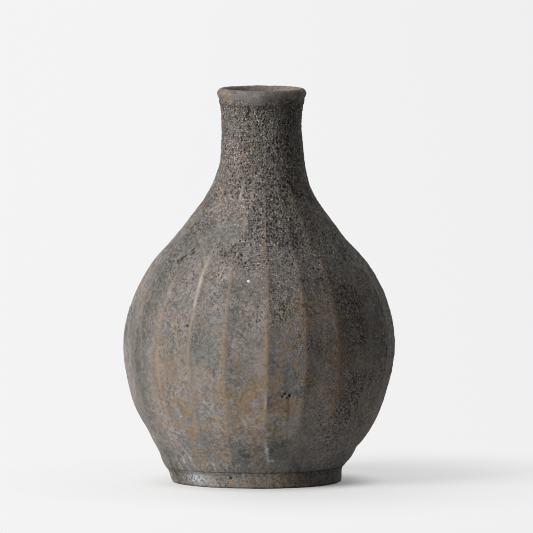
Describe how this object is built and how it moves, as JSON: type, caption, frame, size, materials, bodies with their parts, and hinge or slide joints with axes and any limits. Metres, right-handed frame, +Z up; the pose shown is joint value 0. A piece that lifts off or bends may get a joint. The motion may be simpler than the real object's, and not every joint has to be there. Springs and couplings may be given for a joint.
{
  "type": "stoneware bottle vase",
  "caption": "Hand-thrown stoneware bottle vase: low foot ring, round fluted belly, sloping shoulder, straight narrow neck and rolled lip, with a glaze-lined hollow.",
  "frame": {"origin": "centre of the foot's resting plane", "axes": "+Z up along the neck's axis, from the foot to the lip; -Y is the front"},
  "size_m": [0.1507, 0.151, 0.22],
  "materials": {
    "stoneware": "rough, matte, mottled grey and iron brown",
    "neck_clay": "rough, matte, coarse grain",
    "foot_clay": "matte, worn",
    "liner_glaze": "thin satin glaze",
    "feldspar": "pale melted mineral"
  },
  "bodies": {
    "root": {"foot_ring": "foot_clay", "base_disc": "foot_clay", "lower_body": "stoneware", "upper_body": "stoneware", "neck": "neck_clay", "rim": "neck_clay", "liner_glaze": "liner_glaze", "feldspar_grains": "feldspar"}
  },
  "joints": []
}
